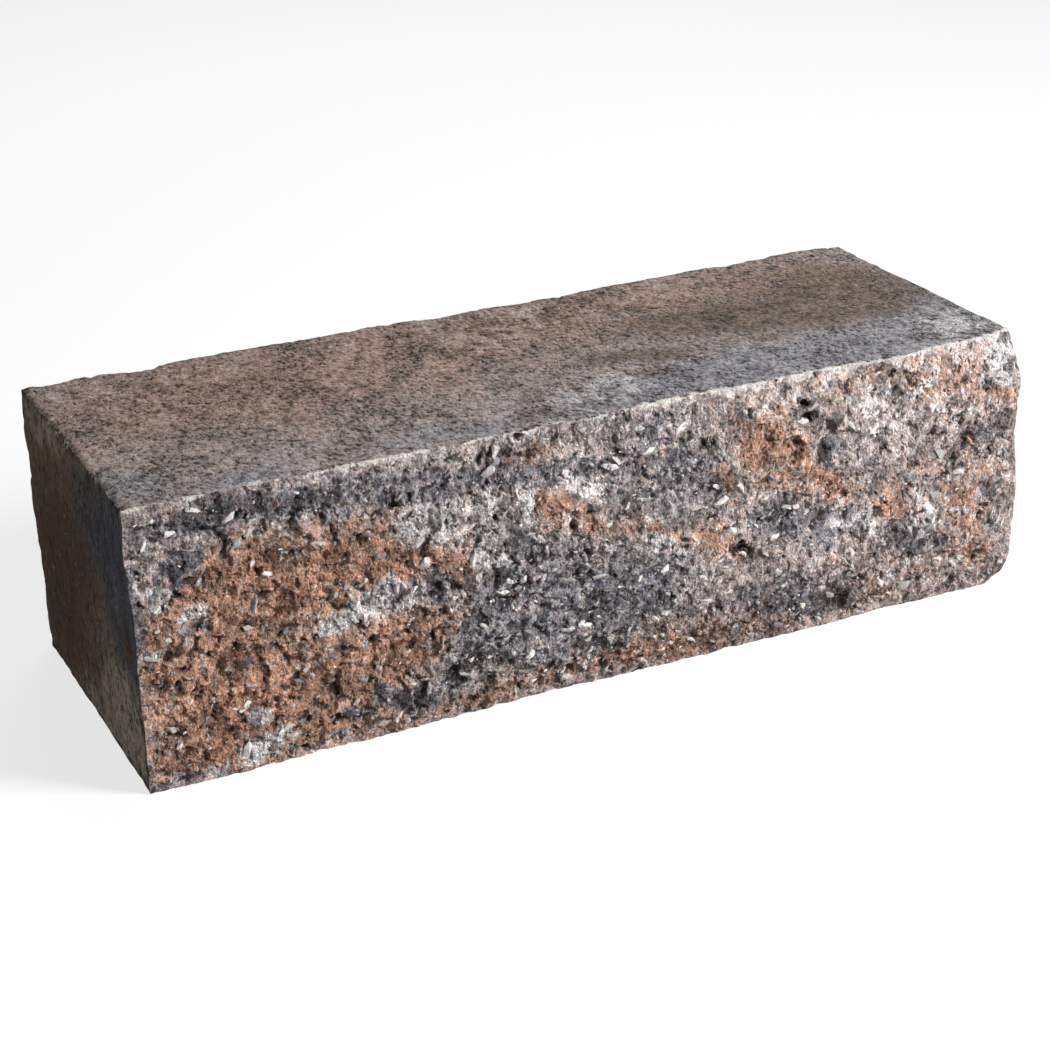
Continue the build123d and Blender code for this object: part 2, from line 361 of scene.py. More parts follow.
def softened(grid, rounds):
    """The grid with each value averaged with its neighbours, as many times over as rounds says."""
    for _ in range(rounds):
        padded = np.pad(grid, 1, mode="edge")
        grid = (padded[:-2, 1:-1] + padded[2:, 1:-1] + 2 * padded[1:-1, 1:-1]) / 4
        padded = np.pad(grid, 1, mode="edge")
        grid = (padded[1:-1, :-2] + padded[1:-1, 2:] + 2 * padded[1:-1, 1:-1]) / 4
    return grid


# The closed mesh of the block


class Shell:
    """Points, faces and face sides of one closed mesh, gathered patch by patch."""

    def __init__(self):
        self.points = []
        self.side_of_point = []
        self.count = 0
        self.triangles = []
        self.side_of_triangle = []

    def add_points(self, points, side):
        """Keeps the points, an array of (x, y, z) rows, and returns their numbers."""
        points = np.asarray(points, float).reshape(-1, 3)
        self.points.append(points)
        self.side_of_point.append(np.full(len(points), side))
        self.count += len(points)
        return np.arange(self.count - len(points), self.count)

    def add_triangles(self, triangles, side):
        triangles = np.asarray(triangles, int).reshape(-1, 3)
        self.triangles.append(triangles)
        self.side_of_triangle.append(np.full(len(triangles), side))

    def position(self, numbers):
        return np.concatenate(self.points)[numbers]


def grid_triangles(numbers):
    """Two triangles for each cell of a grid of point numbers, split one way and the other in turn."""
    a, b = numbers[:-1, :-1].ravel(), numbers[:-1, 1:].ravel()
    c, d = numbers[1:, 1:].ravel(), numbers[1:, :-1].ravel()
    rows, columns = np.indices(numbers[:-1, :-1].shape)
    even = ((rows + columns) % 2 == 0).ravel()
    first = np.where(even[:, None], np.stack([a, b, c], 1), np.stack([a, b, d], 1))
    second = np.where(even[:, None], np.stack([a, c, d], 1), np.stack([b, c, d], 1))
    return np.concatenate([first, second])


def large_shape(side):
    """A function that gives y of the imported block's front or back at x and z, all in millimetres."""
    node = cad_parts[NODE]
    tree = BVHTree.FromPolygons(
        [v.co[:] for v in node.data.vertices], [p.vertices[:] for p in node.data.polygons]
    )
    outside = -1.0 if side == FRONT else 1.0
    inwards = Vector((0, -outside, 0))
    end_margin, rim_margin = 1.3, 0.03  # clear of the mould's rounding and of the solid's edge

    def y_at(x, z):
        reach_x = np.clip(x, -HALF_LENGTH + end_margin, HALF_LENGTH - end_margin)
        reach_z = np.clip(z, rim_margin, HEIGHT - rim_margin)
        hits = [
            tree.ray_cast(Vector((px * MM, outside, pz * MM)), inwards)[0].y
            for px, pz in zip(reach_x.ravel(), reach_z.ravel())
        ]
        return np.array(hits).reshape(x.shape) / MM

    return y_at


def split_side(shell, side, pitch, seed):
    """Adds one split face to the shell. Returns its grid of point numbers: rows go up, columns along +X.

    Also returns how deep each point lies in a hollow, from 0 to 1.
    """
    columns = round(2 * HALF_LENGTH / pitch)
    rows = round(HEIGHT / pitch)
    x, z = np.meshgrid(
        np.linspace(-HALF_LENGTH, HALF_LENGTH, columns + 1), np.linspace(0, HEIGHT, rows + 1)
    )
    outwards = -1 if side == FRONT else 1
    relief = broken_relief(x, z, seed)
    # near the arrises the split is cleaner, and near the ends the mould wall backed the stone
    to_rim = np.minimum(np.minimum(z, HEIGHT - z), HALF_LENGTH - np.abs(x))
    left_at_rim = 0.35
    relief *= left_at_rim + (1 - left_at_rim) * smoothstep(0, 7, to_rim)
    if side == FRONT:
        relief -= front_marks(x, z)
    # how far each point lies below its neighbours, where the split faces' material paints shade
    sunk = 0.7 * (softened(relief, 12) - relief) + 0.5 * (softened(relief, 70) - relief)
    hollow = np.clip(sunk / 1.8, 0, 1)

    rng = np.random.default_rng(seed + 1000)
    shift_x, shift_z = rng.uniform(-0.3, 0.3, (2,) + x.shape) * pitch
    on_rim = 0.4 * pitch  # a point nearer than this to a rim is on it
    inside = (to_rim > on_rim).astype(float)
    x, z = x + shift_x * inside, z + shift_z * inside
    y = large_shape(side)(x, z) + outwards * relief

    # the arris crumbled in places, and the mould's rounded edges have worn
    most = 0.8 if side == FRONT else 0.5
    bite = most * smoothstep(-0.1, 0.9, rough_noise(x, z * 0, 5.0, seed + 300, octaves=3))
    bite += 0.2 * np.abs(noise(x, z * 0, 1.3, seed + 305))
    at_top = (HEIGHT - z) < on_rim
    at_bottom = z < on_rim
    z = np.where(at_top, z - bite, z)
    z = np.where(at_bottom, z + 0.6 * bite, z)
    y -= outwards * 0.7 * bite * (at_top | at_bottom)
    end_bite = 0.5 * smoothstep(-0.2, 0.9, rough_noise(z, z * 0 + 3, 5.0, seed + 310, octaves=3))
    at_end = np.abs(np.abs(x) - HALF_LENGTH) < on_rim
    x = np.where(at_end, x - np.sign(x) * end_bite, x)
    y -= outwards * end_bite * at_end

    numbers = shell.add_points(np.stack([x, y, z], -1), side).reshape(x.shape)
    triangles = grid_triangles(numbers)
    shell.add_triangles(triangles if side == FRONT else triangles[:, ::-1], side)
    return numbers, hollow


def mould_wear(a, b, seed):
    """How uneven a moulded face is, in millimetres inwards."""
    return 0.2 + 0.12 * rough_noise(a, b, 22, seed) + 0.16 * rough_noise(a, b, 5, seed + 5, octaves=2)


def edge_row(shell, start, end, count, side, down, out, seed):
    """Adds the points of a moulded edge between two corners, without these. The top left edge is crumbled."""
    share = np.linspace(0, 1, count + 2)[1:-1, None]
    points = start * (1 - share) + end * share
    y = points[:, 1]
    wear = 0.3 + 0.2 * noise(y, y * 0, 5, seed)
    if side == TOP and start[0] < 0:
        wear = wear + 0.8 * np.abs(noise(y, y * 0, 3.0, seed + 2))
        wear = wear + 0.8 * smoothstep(0.1, 0.8, noise(y, y * 0, 7, seed + 4))
    points = points + wear[:, None] * (np.array(down) + np.array(out))
    return shell.add_points(points, side)


def moulded_side(shell, side, loop, axes, pitch, level, inwards, seed):
    """Closes the loop of point numbers with a flat face at this level of the axis that isn't one of its own.

    axes are the two that the face lies along, and inwards is the way into the block along the third, 1 or -1.
    """
    rim = shell.position(loop)[:, list(axes)]
    rng = np.random.default_rng(seed)
    spans = [np.arange(rim[:, k].min() + 0.8 * pitch, rim[:, k].max() - 0.5 * pitch, pitch) for k in (0, 1)]
    a, b = (line.ravel() for line in np.meshgrid(*spans))
    a, b = (line + rng.uniform(-0.28, 0.28, line.shape) * pitch for line in (a, b))
    # keep clear of the rim, which wanders
    rim_a, rim_b = rim[:: max(1, len(rim) // 900)].T
    gap = np.array([np.min(np.hypot(rim_a - pa, rim_b - pb)) for pa, pb in zip(a, b)])
    clear = gap > 0.62 * pitch
    a, b = a[clear], b[clear]
    flat = np.concatenate([rim, np.stack([a, b], 1)])
    corners = list(range(len(loop)))
    loop_edges = [(k, (k + 1) % len(loop)) for k in corners]
    inside_only, merge_distance = 1, 1e-7
    _, _, faces, origin, _, _ = delaunay_2d_cdt(
        [Vector(p) for p in flat.tolist()], loop_edges, [corners], inside_only, merge_distance
    )
    third = 3 - sum(axes)
    inner = np.empty((len(a), 3))
    inner[:, axes[0]], inner[:, axes[1]], inner[:, third] = a, b, level + inwards * mould_wear(a, b, seed)
    numbers = np.concatenate([loop, shell.add_points(inner, side)])
    triangles = np.array([[numbers[origin[k][0]] for k in face] for face in faces])
    shell.add_triangles(triangles, side)


def outward(points, triangles, side):
    """The triangles, with those of a flat side turned to face away from the block. The others do already."""
    if side in (FRONT, BACK):
        return triangles
    axis, sign = {TOP: (2, 1), BOTTOM: (2, -1), LEFT: (0, -1), RIGHT: (0, 1)}[side]
    a, b, c = (points[triangles[:, k]] for k in range(3))
    facing = np.cross(b - a, c - a)[:, axis].sum() * sign
    return triangles if facing > 0 else triangles[:, ::-1]


def concrete_shell(settings):
    """The whole block as a Shell: two split faces, and four moulded ones that join them.

    Also returns how hollow and how crushed the block is at each point.
    """
    shell = Shell()
    front, front_hollow = split_side(shell, FRONT, settings.front_pitch / MM, seed=11)
    back, back_hollow = split_side(shell, BACK, settings.back_pitch / MM, seed=47)
    end_pitch = settings.end_pitch / MM
    across = round((high[1] - low[1]) / (settings.top_pitch / MM))

    rows = {}
    for end, column, out in ((LEFT, 0, (1, 0, 0)), (RIGHT, -1, (-1, 0, 0))):
        for level, row, down in ((TOP, -1, (0, 0, -1)), (BOTTOM, 0, (0, 0, 1))):
            start, stop = (shell.position(grid[row, column]) for grid in (front, back))
            seed = 500 + 10 * end + level
            rows[level, end] = edge_row(shell, start, stop, across, level, down, out, seed)

    for level, row, height, pitch, inwards in (
        (TOP, -1, HEIGHT, settings.top_pitch / MM, -1),
        (BOTTOM, 0, 0.0, settings.bottom_pitch / MM, 1),
    ):
        loop = [front[row], rows[level, RIGHT], back[row][::-1], rows[level, LEFT][::-1]]
        moulded_side(shell, level, np.concatenate(loop), (0, 1), pitch, height, inwards, seed=600 + level)
    for end, column, inwards in ((LEFT, 0, 1), (RIGHT, -1, -1)):
        loop = [front[:, column], rows[TOP, end], back[:, column][::-1], rows[BOTTOM, end][::-1]]
        place = -inwards * HALF_LENGTH
        moulded_side(shell, end, np.concatenate(loop), (1, 2), end_pitch, place, inwards, seed=700 + end)

    hollow = np.zeros(shell.count)
    hollow[front], hollow[back] = front_hollow, back_hollow
    # painted shade along the arrises between the top and the ends, where they dip below the top
    for numbers in (rows[TOP, LEFT], rows[TOP, RIGHT]):
        hollow[numbers] = smoothstep(1.1, 2.2, HEIGHT - shell.position(numbers)[:, 2])
    crushed = crushed_share(np.concatenate(shell.points), front, back)
    y = shell.position(rows[TOP, LEFT])[:, 1]
    crushed[rows[TOP, LEFT]] = 0.5 * smoothstep(-0.7, 0.3, noise(y, y * 0, 4.0, 960))
    return shell, hollow, crushed


def crushed_share(points, front, back):
    """Where the top arrises are crushed to pale fines: a broken line, 0 to 1 at each point."""
    share = np.zeros(len(points))
    x = points[:, 0]
    for grid, seed in ((front, 900), (back, 950)):
        line = points[grid[-1]]
        y_line = np.interp(x, line[:, 0], line[:, 1])
        z_line = np.interp(x, line[:, 0], line[:, 2])
        reach = np.hypot(points[:, 1] - y_line, points[:, 2] - z_line)
        width = 1.5 * smoothstep(-130, 90, x) - 0.3
        width = width + 1.2 * noise(x, x * 0, 9, seed) + 1.5 * noise(x, x * 0, 3.4, seed + 1)
        on_face = np.where(np.abs(points[:, 1]) > np.abs(y_line) - 0.3, 1.0, 2.2)
        line = 1 - smoothstep(width - 0.4, width + 0.8, reach * on_face)
        share = np.maximum(share, line * (1.0 if grid is front else 0.5))
    return share


def pigment_and_shade_shares(points, side_of_point):
    """Each pigment's share, and that of the split faces' painted shade, at each point, read from the patches
    of the face that the point belongs to.
    """
    shares = np.zeros((len(PIGMENTS_AND_SHADE), len(points)))
    for side, patch_lists in FACE_PATCHES.items():
        here = side_of_point == side
        x, y, z = points[here].T
        u, v = {FRONT: (x, z), BACK: (x, z), TOP: (x, y), BOTTOM: (x, y)}.get(side, (y, z))
        wu = u + 7.0 * rough_noise(u, v, 17, 800 + side, octaves=5, gain=0.6)
        wv = v + 7.0 * rough_noise(u, v, 17, 850 + side, octaves=5, gain=0.6)
        for k, ovals in enumerate(patch_lists):
            shares[k, here] = share_of(ovals, wu, wv)
    return shares


def mesh_from_arrays(name, points, triangles):
    """A Blender mesh from points in millimetres and triangles."""
    mesh = bpy.data.meshes.new(name)
    mesh.vertices.add(len(points))
    mesh.vertices.foreach_set("co", (points * MM).ravel())
    mesh.loops.add(3 * len(triangles))
    mesh.loops.foreach_set("vertex_index", triangles.ravel())
    mesh.polygons.add(len(triangles))
    mesh.polygons.foreach_set("loop_start", np.arange(0, 3 * len(triangles), 3))
    mesh.update()
    mesh.validate()
    return mesh


def add_attribute(mesh, name, values):
    """Keeps a number for each point of the mesh."""
    mesh.attributes.new(name, "FLOAT", "POINT").data.foreach_set("value", np.asarray(values, np.float32))


def add_object(name, data):
    """An object for the data, in the scene's own collection."""
    added = bpy.data.objects.new(name, data)
    bpy.context.scene.collection.objects.link(added)
    return added


# Materials

# The Mix node's sockets when it mixes colours, and its settings to lay one over the other or multiply them
MIX_A, MIX_B = 6, 7
OVER = {"out": 2, "data_type": "RGBA"}
TIMES = OVER | {"blend_type": "MULTIPLY"}


def add_node(tree, kind, inputs=None, out=0, ramp=None, **settings):
    """Adds a node and returns one of its outputs. inputs gives values or links, by socket name or number.

    A shader node's kind is written without its prefix.
    """
    node = tree.nodes.new(kind if "Node" in kind else "ShaderNode" + kind)
    for name, value in settings.items():
        setattr(node, name, value)
    for key, value in (inputs or {}).items():
        socket = node.inputs[key]
        if isinstance(value, bpy.types.NodeSocket):
            tree.links.new(value, socket)
        elif socket.type == "RGBA":
            socket.default_value = (*value, 1)
        else:
            socket.default_value = value
    if ramp:
        stops = node.color_ramp.elements
        while len(stops) < len(ramp):
            stops.new(1.0)
        for stop, (position, colour) in zip(stops, ramp):
            stop.position = position
            stop.color = (colour, colour, colour, 1) if isinstance(colour, float) else (*colour, 1)
    return node.outputs[out] if node.outputs else None


def emptied(datablock):
    """The material or world with a node tree that has nothing in it yet."""
    datablock.use_nodes = True
    datablock.node_tree.nodes.clear()
    return datablock


def weighted(tree, total, *terms):
    """The total with each field of the (field, weight) terms added to it."""
    for field, weight in terms:
        total = add_node(tree, "Math", {0: field, 1: weight, 2: total}, operation="MULTIPLY_ADD")
    return total


def shaded(tree, colour, amount, *fields):
    """The colour made darker and lighter by each noise field, which its ramp turns into tones."""
    for field, ramp in fields:
        tones = add_node(tree, "ValToRGB", {0: field}, ramp=ramp)
        colour = add_node(tree, "Mix", {0: amount, MIX_A: colour, MIX_B: tones}, **TIMES)
    return colour


def lay_pigments_and_shade(tree, colour, outline, *pigments):
    """Lays pigments and painted shade over the colour, each where its attribute, made ragged by the outline,
    passes a half.

    The outline is noise around 0. Each pigment comes with its attribute, raggedness, strength and softness.
    """
    for pigment, attribute, raggedness, strength, soft in pigments:
        share = add_node(tree, "Attribute", attribute_name=attribute, out="Fac")
        spread = weighted(tree, share, (outline, raggedness))
        limits = {"Value": spread, "From Min": 0.5 - soft, "From Max": 0.5 + soft, "To Max": strength}
        cover = add_node(tree, "MapRange", limits, interpolation_type="SMOOTHSTEP")
        colour = add_node(tree, "Mix", {0: cover, MIX_A: colour, MIX_B: pigment}, **OVER)
    return colour


def split_face_concrete(colours):
    """Pressed concrete as it breaks: crumbly pigmented mortar around sand and stone, with no gloss at all."""
    material = emptied(bpy.data.materials.new("split_face_concrete"))
    tree = material.node_tree
    node = partial(add_node, tree)
    where = node("TexCoord", out="Object")
    # the crumbs are drawn out a little, steeply up and to the right
    drawn, torn = (
        node("Mapping", {"Vector": where, "Rotation": (0, math.radians(turn), 0), "Scale": scale})
        for turn, scale in ((-16, (1.15, 1.15, 0.85)), (-20, (1.25, 1.1, 0.8)))
    )
    # fields of noise, each with the size of its bumps in millimetres, its detail and its roughness
    clouds, blotches, mottle, fine, dust, tears, lumps = (
        node("TexNoise", {"Vector": way, "Scale": 1 / (size * MM), "Detail": detail, "Roughness": roughness})
        for way, size, detail, roughness in (
            (drawn, 15.0, 3.0, 0.65), (drawn, 6.5, 4.0, 0.65), (drawn, 3.2, 4.0, 0.65),
            (drawn, 1.1, 3.0, 0.65), (drawn, 0.55, 2.0, 0.65), (torn, 3.6, 6.0, 0.72), (where, 5.0, 4.0, 0.6),
        )
    )
    jumbled = node("TexNoise", {"Vector": where, "Scale": 1 / (1.2 * MM), "Detail": 3.0}, out="Color")
    jumbled = node("VectorMath", {0: jumbled, 1: (0.5, 0.5, 0.5)}, operation="SUBTRACT")
    jumbled = node("VectorMath", {0: jumbled, "Scale": 1.6 * MM}, operation="SCALE")
    jumbled = node("VectorMath", {0: drawn, 1: jumbled}, operation="ADD")

    # crumbs of two sizes, each with three random numbers of its own, and each broken along its own slope
    crumb_chances = []
    crumb_slopes = []
    for size in (3.8, 1.4):
        crumbs = node("TexVoronoi", {"Vector": jumbled, "Scale": 1 / (size * MM)}, out="Color")
        crumb_chances.append(node("SeparateColor", {0: crumbs}).node.outputs)
        offset = node("VectorMath", {0: jumbled, 1: crumbs.node.outputs["Position"]}, operation="SUBTRACT")
        lean = node("VectorMath", {0: crumbs, 1: (0.5, 0.5, 0.5)}, operation="SUBTRACT")
        crumb_slopes.append(node("VectorMath", {0: offset, 1: lean}, out="Value", operation="DOT_PRODUCT"))
    coarse, small = crumb_chances

    # which mortar a crumb belongs to strays from the pigment's own outline, by crumbs as well as by noise
    ragged = weighted(tree, mottle, (blotches, 1.4), (coarse[2], 0.20), (small[2], 0.08))
    ragged = node("Math", {0: ragged, 1: 1.34}, operation="SUBTRACT")
    wider = node("Math", {0: ragged, 1: 0.22}, operation="ADD")
    narrower = node("Math", {0: ragged, 1: 0.26}, operation="SUBTRACT")

    # a crumb's own shade: the same number picks it from each mortar's row of shades
    pick = node("MapRange", {"Value": lumps, "From Min": 0.30, "From Max": 0.70, "To Max": 0.78})
    pick = weighted(tree, pick, (coarse[0], 0.20), (small[0], 0.16))
    plain, blushed, rust, faded, charcoal, lime = (
        node("ValToRGB", {0: pick}, ramp=[(place, getattr(colours, shade)) for place, shade in row])
        for row in (
            [(0.24, "charcoal_dark"), (0.36, "mortar_dark"), (0.52, "mortar"), (0.74, "mortar"),
             (0.88, "lime")],
            [(0.24, "charcoal"), (0.40, "salmon"), (0.72, "salmon"), (0.86, "lime")],
            [(0.22, "rust_dark"), (0.46, "rust"), (0.70, "rust"), (0.86, "peach"), (0.98, "lime_dark")],
            [(0.22, "mortar_dark"), (0.40, "peach"), (0.66, "peach"), (0.80, "salmon"), (0.94, "lime")],
            [(0.34, "charcoal_dark"), (0.50, "charcoal"), (0.64, "slate"), (0.76, "mortar_dark"),
             (0.86, "salmon"), (0.96, "lime")],
            [(0.12, "charcoal"), (0.30, "lime_dark"), (0.46, "lime"), (0.90, "lime")],
        )
    )
    blush = node("MapRange", {"Value": clouds, "From Min": 0.46, "From Max": 0.60, "To Max": 0.60})
    mortar = node("Mix", {0: blush, MIX_A: plain, MIX_B: blushed}, **OVER)
    # iron oxide is strongest in the middle of its streaks, and fades to peach and pink around them
    mortar = lay_pigments_and_shade(tree, mortar, wider, (blushed, "warm", 1.2, 0.8, 0.25))
    mortar = lay_pigments_and_shade(tree, mortar, ragged, (faded, "warm", 1.3, 1.0, 0.16))
    mortar = lay_pigments_and_shade(tree, mortar, narrower, (rust, "warm", 0.9, 0.95, 0.22))
    oxides = (charcoal, "blue", 1.3, 1.0, 0.16), (lime, "pale", 1.2, 1.0, 0.16)
    mortar = lay_pigments_and_shade(tree, mortar, ragged, *oxides)
    # painted shade: the mortar is multiplied darker in the front's painted-shade patches and their turned
    # copy on the back
    deep = node("Mix", {0: 0.75, MIX_A: mortar, MIX_B: colours.deep}, **TIMES)
    mortar = lay_pigments_and_shade(tree, mortar, ragged, (deep, "damp_and_shade", 1.2, 0.9, 0.25))

    # sand and dust make every crumb uneven, and broad clouds make whole areas lighter or darker
    mortar = shaded(
        tree,
        mortar,
        0.9,
        (coarse[1], [(0.0, 0.72), (0.5, 1.0), (1.0, 1.20)]),
        (small[1], [(0.0, 0.55), (0.35, 0.96), (1.0, 1.24)]),
        (dust, [(0.30, 0.70), (0.5, 1.0), (0.68, 1.22)]),
        (fine, [(0.32, 0.38), (0.46, 0.97), (0.66, 1.26)]),
        (blotches, [(0.33, 0.46), (0.48, 1.0), (0.66, 1.26)]),
        (clouds, [(0.31, 0.42), (0.50, 1.0), (0.68, 1.26)]),
    )
    # painted shade: little light reaches the hollows, nor the gaps that crumbs left, so both are coloured
    # dark
    mortar = lay_pigments_and_shade(tree, mortar, ragged, (colours.pore_shade, "hollow", 0.9, 0.8, 0.4))
    chance = weighted(tree, tears, (small[1], -0.08))
    gaps = {"Value": chance, "From Min": 0.42, "From Max": 0.34, "To Max": 0.9}
    gaps = node("MapRange", gaps, interpolation_type="SMOOTHSTEP")
    mortar = node("Mix", {0: gaps, MIX_A: mortar, MIX_B: colours.pore_shade}, **OVER)
    # the arrises are crushed to pale grit
    grit = shaded(tree, colours.crushed, 1.0, (fine, [(0.34, 0.45), (0.52, 1.0)]))
    mortar = lay_pigments_and_shade(tree, mortar, ragged, (grit, "crushed", 1.8, 0.92, 0.2))

    # the flakes of gravel are meshes of their own: clean stone, with mortar still clinging to a few
    tone = node("Attribute", attribute_name="tone", out="Fac")
    kinds_of_stone = [
        (0.0, "dark"), (0.10, "blue"), (0.30, "grey"), (0.62, "pale"), (0.92, "white"), (0.96, "white"),
        (0.97, "red"),
    ]
    ramp = [(place, getattr(colours, "chip_" + kind)) for place, kind in kinds_of_stone]
    stone = node("ValToRGB", {0: tone}, ramp=ramp)
    stone = shaded(tree, stone, 1.0, (fine, [(0.30, 0.80), (0.60, 1.0)]))
    is_stone = node("Attribute", attribute_name="stone", out="Fac")
    cling = weighted(tree, mottle, (small[1], 0.22))
    bare = node("MapRange", {"Value": cling, "From Min": 0.72, "From Max": 0.62})
    bare = node("Math", {0: bare, 1: is_stone}, operation="MULTIPLY")
    colour = node("Mix", {0: bare, MIX_A: mortar, MIX_B: stone}, **OVER)

    # in metres: sloping crumbs, and the grain of the sand over them
    height = node("Math", {0: crumb_slopes[0], 1: 1.1}, operation="MULTIPLY")
    grains = (crumb_slopes[1], 1.4), (fine, 1.3 * MM), (dust, 0.4 * MM), (tears, 4.5 * MM)
    height = weighted(tree, height, *grains)
    # the stone of the flakes is smoother than the mortar
    strength = node("MapRange", {"Value": bare, "To Min": 1.0, "To Max": 0.2})
    bump = node("Bump", {"Height": height, "Strength": strength, "Distance": 1.0})
    dry = {"Base Color": colour, "Roughness": 0.9, "IOR": 1.5, "Specular IOR Level": 0.15, "Normal": bump}
    node("OutputMaterial", {"Surface": node("BsdfPrincipled", dry)})
    return material


class Skin(NamedTuple):
    """The colours of a moulded face: the plain paste, and each pigment's own paste over it."""

    plain: tuple
    warm: tuple
    blue: tuple
    pale: tuple
    damp_and_shade: tuple


def moulded_concrete(name, colours, paste, drawn, pit_size, pit_share):
    """Concrete as it leaves the mould: a sandy cement skin with ragged open pits, dry and dull.

    paste is a Skin. drawn stretches the texture along an axis, which is how the mould wall leaves the ends.
    """
    material = emptied(bpy.data.materials.new(name))
    tree = material.node_tree
    node = partial(add_node, tree)
    where = node("TexCoord", out="Object")
    stretched = node("Mapping", {"Vector": where, "Scale": drawn})
    cloud, blotch, pits, sand = (
        node(
            "TexNoise",
            {"Vector": stretched, "Scale": 1 / (size * MM), "Detail": detail, "Roughness": roughness},
        )
        for size, detail, roughness in (
            (30.0, 4.0, 0.6), (6.5, 6.0, 0.7), (pit_size, 5.0, 0.74), (1.8, 3.0, 0.7),
        )
    )
    ragged = node("Math", {0: cloud, 1: blotch}, operation="ADD")
    ragged = node("Math", {0: ragged, 1: 1.0}, operation="SUBTRACT")
    skin = lay_pigments_and_shade(
        tree,
        paste.plain,
        ragged,
        (paste.warm, "warm", 1.8, 1.0, 0.35),
        (paste.blue, "blue", 1.2, 1.0, 0.35),
        (paste.pale, "pale", 1.2, 0.85, 0.35),
        (paste.damp_and_shade, "damp_and_shade", 1.2, 0.85, 0.4),
    )
    # sand at the surface: most grains are near the skin's tone, some darker, a few pale
    skin = shaded(
        tree,
        skin,
        0.85,
        (sand, [(0.32, 0.22), (0.5, 1.0), (0.68, 1.60)]),
        (blotch, [(0.34, 0.40), (0.48, 1.0), (0.66, 1.40)]),
        (cloud, [(0.34, 0.74), (0.50, 1.0), (0.66, 1.16)]),
    )
    specks = node("TexVoronoi", {"Vector": where, "Scale": 1 / (1.9 * MM)}, out="Color")
    chance = node("SeparateColor", {0: specks}, out=2)
    chosen = node("Math", {0: chance, 1: 0.035}, operation="LESS_THAN")
    near = node("MapRange", {"Value": specks.node.outputs["Distance"], "From Min": 0.34, "From Max": 0.22})
    speck = node("Math", {0: chosen, 1: near}, operation="MULTIPLY")
    speck = node("Math", {0: speck, 1: 0.35}, operation="MULTIPLY")
    skin = node("Mix", {0: speck, MIX_A: skin, MIX_B: paste.pale}, **OVER)

    # open pits, crowded in some places and nearly absent where the skin is close
    limits = {"From Min": -0.2, "From Max": 0.2, "To Min": pit_share + 0.05, "To Max": pit_share - 0.05}
    crowd = node("MapRange", {"Value": ragged, **limits})
    closed = node("Attribute", attribute_name="damp_and_shade", out="Fac")
    limit = weighted(tree, crowd, (closed, -0.03))
    depth = node("Math", {0: limit, 1: pits}, operation="SUBTRACT")
    open_pit = node("MapRange", {"Value": depth, "From Min": -0.004, "From Max": 0.014})
    # short crooked cracks, where the damp mix tore as the mould came off
    crooked = {"Scale": 1 / (7.0 * MM), "Detail": 5.0, "Roughness": 0.62, "Distortion": 0.5}
    seam = node("TexNoise", {"Vector": stretched, **crooked})
    beside = node("Math", {0: seam, 1: 0.5}, operation="SUBTRACT")
    beside = node("Math", {0: beside}, operation="ABSOLUTE")
    crack = node("MapRange", {"Value": beside, "From Min": 0.018, "From Max": 0.006})
    broken = node("MapRange", {"Value": depth, "From Min": -0.05, "From Max": -0.01})
    crack = node("Math", {0: crack, 1: broken}, operation="MULTIPLY")
    open_pit = node("Math", {0: open_pit, 1: crack}, operation="MAXIMUM")
    # painted shade: the open pits and the cracks are coloured dark for the shade inside them
    darkened = node("Math", {0: open_pit, 1: 0.92}, operation="MULTIPLY")
    skin = node("Mix", {0: darkened, MIX_A: skin, MIX_B: colours.pit_shade}, **OVER)
    crumbly = node("Math", {0: pits, 1: sand}, operation="ADD")
    crumbly = node("Math", {0: crumbly, 1: 1.0}, operation="SUBTRACT")
    # painted shade where the ends' top arrises dip, and pale crushed grit along the top arrises
    shaded_and_crushed = (colours.pit_shade, "hollow", 1.6, 0.8, 0.2), (colours.crushed, "crushed", 1.8, 0.7, 0.15)
    skin = lay_pigments_and_shade(tree, skin, crumbly, *shaded_and_crushed)

    height = weighted(tree, sand, (pits, 5.5), (open_pit, -3.5), (blotch, 5.0))
    bump = node("Bump", {"Height": height, "Strength": 1.0, "Distance": 0.8 * MM})
    dull = {"Base Color": skin, "Roughness": 0.88, "IOR": 1.5, "Specular IOR Level": 0.08, "Normal": bump}
    node("OutputMaterial", {"Surface": node("BsdfPrincipled", dull)})
    return material


# Gravel, scattered over a split face by geometry nodes


